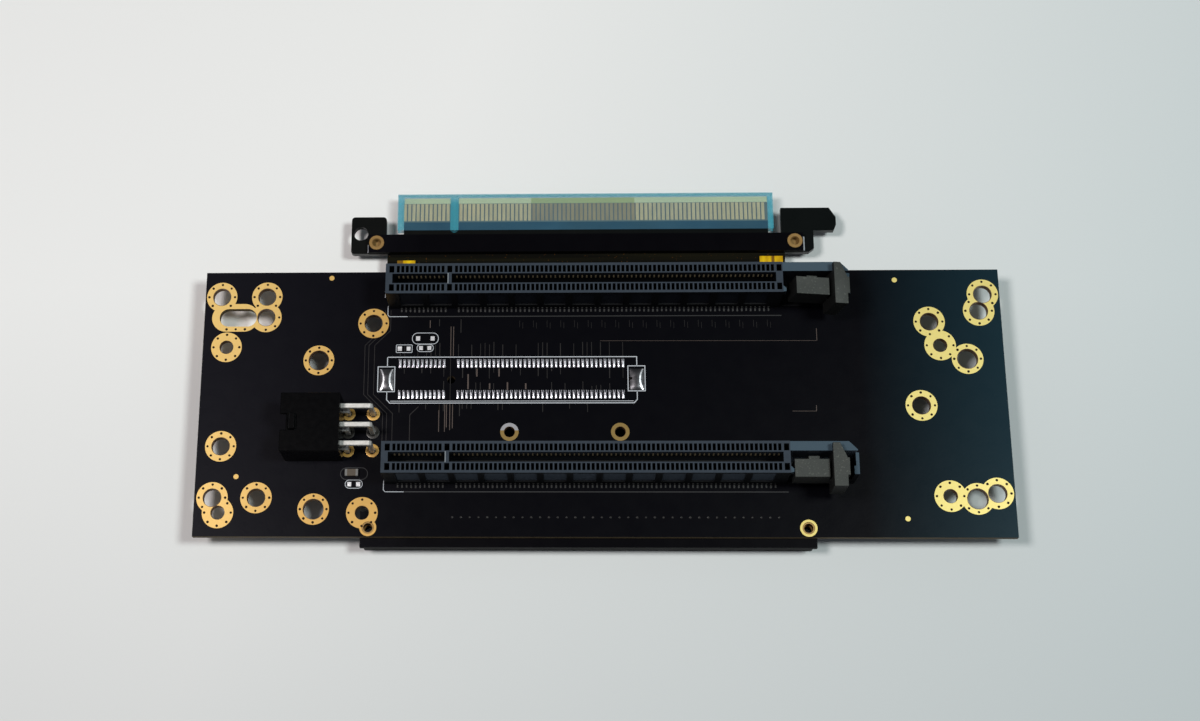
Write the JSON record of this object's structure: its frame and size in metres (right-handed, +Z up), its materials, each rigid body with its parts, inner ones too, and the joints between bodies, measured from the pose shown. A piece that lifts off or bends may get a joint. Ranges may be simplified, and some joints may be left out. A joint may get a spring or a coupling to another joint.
{
  "type": "pcie riser card",
  "caption": "Black riser board with long card slots, a power header and plated mounting holes, joined by a flat flexible circuit to a board with a gold edge connector under blue film.",
  "frame": {"origin": "centre of the bounding box at the table, under the middle of the main board's width", "axes": "+X along the card slots towards their latches, +Y towards the gold edge connector, +Z up out of the board's slot side"},
  "size_m": [0.18, 0.0834, 0.0218],
  "materials": {
    "board_mask": "satin",
    "gold_plate": "polished",
    "tin": "satin",
    "slot_plastic": "satin",
    "contact_metal": "satin",
    "latch_plastic": "matt",
    "header_plastic": "satin",
    "pin_metal": "satin",
    "finger_mask": "satin",
    "finger_gold": "polished",
    "film": "gloss",
    "brass_nut": "machined",
    "flex": "satin",
    "tape": "gloss",
    "bar_plastic": "matt",
    "ceramic": "matt"
  },
  "bodies": {
    "card": {"main_board": "board_mask", "plated_hole_rings": "gold_plate", "middle_solder_tabs": "tin", "power_header_housing": "header_plastic", "power_pins_lower_row": "pin_metal", "power_pins_upper_row": "pin_metal", "finger_board": "finger_mask", "edge_fingers_top": "finger_gold", "edge_fingers_bottom": "finger_gold", "protective_film": "film", "rear_end_board": "board_mask", "front_end_board": "board_mask", "front_support_bar": "bar_plastic", "rear_brass_nuts": "brass_nut", "front_brass_nuts": "brass_nut", "flex_ribbon": "flex", "left_tape_patch": "tape", "right_tape_patch": "tape", "capacitor_body": "ceramic", "capacitor_ends": "tin", "upper_slot_housing": "slot_plastic", "upper_slot_rear_contacts": "contact_metal", "upper_slot_front_contacts": "contact_metal", "lower_slot_housing": "slot_plastic", "lower_slot_rear_contacts": "contact_metal", "lower_slot_front_contacts": "contact_metal"},
    "upper_latch": {"upper_slot_latch": "latch_plastic"},
    "lower_latch": {"lower_slot_latch": "latch_plastic"}
  },
  "joints": [
    {"name": "upper_latch_hinge", "type": "hinge", "parent": "card", "child": "upper_latch", "pos_m": [0.0519, 0.01622, 0.0107], "axis": [0, 1, 0], "range_deg": [-11, 3]},
    {"name": "lower_latch_hinge", "type": "hinge", "parent": "card", "child": "lower_latch", "pos_m": [0.0519, -0.02442, 0.0107], "axis": [0, 1, 0], "range_deg": [0, 14]}
  ]
}
